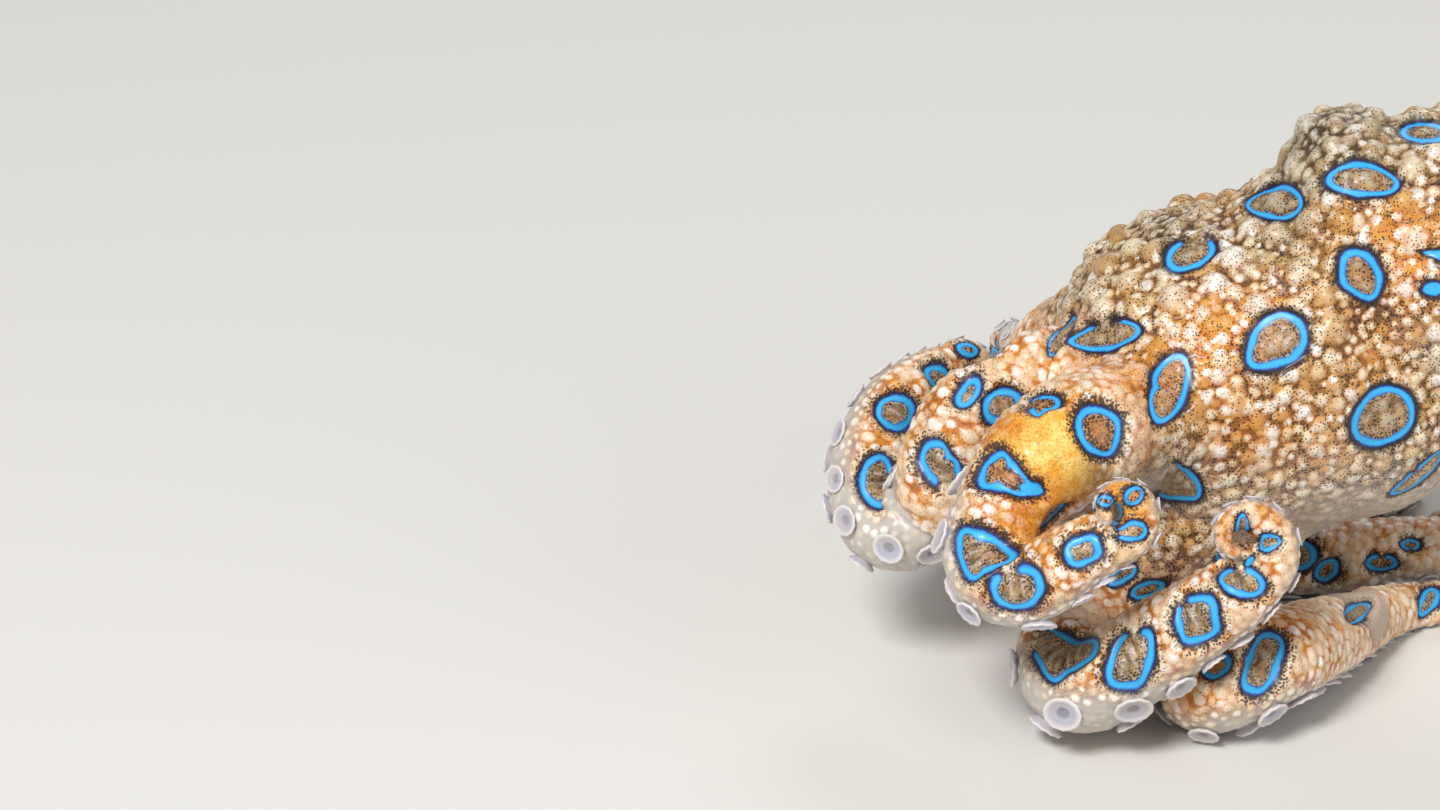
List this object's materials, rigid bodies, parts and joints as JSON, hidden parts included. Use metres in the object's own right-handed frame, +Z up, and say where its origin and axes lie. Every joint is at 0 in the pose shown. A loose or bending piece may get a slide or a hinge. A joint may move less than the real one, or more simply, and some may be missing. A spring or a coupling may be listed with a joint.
{
  "type": "greater blue-ringed octopus",
  "caption": "Life-size still model of a greater blue-ringed octopus resting on its curled arms.",
  "frame": {"origin": "middle of the bounding box's foot, on the floor that the arms rest on", "axes": "+X from the arms towards the rear of the mantle, +Y towards the animal's right side, +Z up"},
  "size_m": [0.1026, 0.0646, 0.045],
  "materials": {
    "skin": "moist knobbly skin, cream and ochre with bright blue rings edged in navy",
    "eye": "wet gloss"
  },
  "bodies": {
    "root": {"mantle": "skin", "head": "skin", "crown": "skin", "siphon": "skin", "eye_left": "eye", "eye_right": "eye", "arm_left_1_upper": "skin", "arm_left_1_middle": "skin", "arm_left_1_tip": "skin", "arm_left_2_upper": "skin", "arm_left_2_middle": "skin", "arm_left_2_tip": "skin", "arm_left_3_upper": "skin", "arm_left_3_middle": "skin", "arm_left_3_tip": "skin", "arm_left_4_upper": "skin", "arm_left_4_middle": "skin", "arm_left_4_tip": "skin", "arm_right_1_upper": "skin", "arm_right_1_middle": "skin", "arm_right_1_tip": "skin", "arm_right_2_upper": "skin", "arm_right_2_middle": "skin", "arm_right_2_tip": "skin", "arm_right_3_upper": "skin", "arm_right_3_middle": "skin", "arm_right_3_tip": "skin", "arm_right_4_upper": "skin", "arm_right_4_middle": "skin", "arm_right_4_tip": "skin"}
  },
  "joints": []
}
